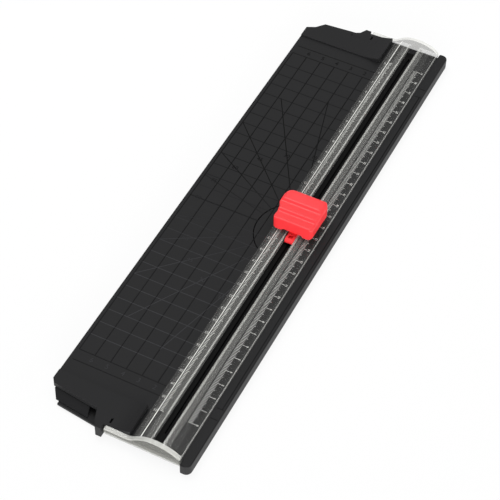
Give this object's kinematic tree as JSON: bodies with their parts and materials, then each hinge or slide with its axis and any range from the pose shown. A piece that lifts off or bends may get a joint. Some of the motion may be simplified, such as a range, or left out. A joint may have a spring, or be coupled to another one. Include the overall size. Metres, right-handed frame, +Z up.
{
  "type": "paper trimmer",
  "caption": "Portable sliding-blade paper trimmer: black board with a hinged clear ruler guide, a red press-and-slide cutter head and a swing-out side ruler.",
  "frame": {"origin": "on the table, under the middle of the board's bounding box", "axes": "+Z up, +Y along the cut away from the user, +X across the board from the paper side to the offcut side"},
  "size_m": [0.0944, 0.3612, 0.0222],
  "materials": {
    "black_plastic": "fine-grained black moulded plastic",
    "strip_plastic": "smooth black plastic",
    "clear_plastic": "clear polished plastic",
    "red_plastic": "satin coral red plastic",
    "foot_rubber": "soft black rubber",
    "steel": "bare steel"
  },
  "bodies": {
    "base": {"base_board": "black_plastic", "cutting_strip": "strip_plastic", "rubber_feet": "foot_rubber", "side_ruler_washer": "steel", "side_ruler_screw": "steel"},
    "arm": {"side_ruler": "black_plastic"},
    "guide": {"clear_guide": "clear_plastic"},
    "slider": {"slider_body": "red_plastic", "slider_keeper": "strip_plastic", "keeper_screws": "steel", "left_spring": "steel", "right_spring": "steel"},
    "cap": {"press_cap": "red_plastic", "blade_holder": "strip_plastic", "blade_cover": "strip_plastic", "blade": "steel", "holder_screws": "steel"}
  },
  "joints": [
    {"name": "guide_hinge", "type": "hinge", "parent": "base", "child": "guide", "pos_m": [-0.0032, 0, 0.0066], "axis": [0, -1, 0], "range_deg": [0, 70]},
    {"name": "slider_travel", "type": "slide", "parent": "guide", "child": "slider", "axis": [0, 1, 0], "range_m": [-0.1616, 0.1555]},
    {"name": "cap_press", "type": "slide", "parent": "slider", "child": "cap", "axis": [0, 0, -1], "range_m": [0, 0.0016], "stiffness_N_per_m": 1500, "springref_m": -0.0006, "deforming": ["left_spring", "right_spring"]},
    {"name": "side_ruler_swing", "type": "hinge", "parent": "base", "child": "arm", "pos_m": [-0.03275, 0.14515, 0.0043], "axis": [0, 0, -1], "range_deg": [0, 90]}
  ]
}
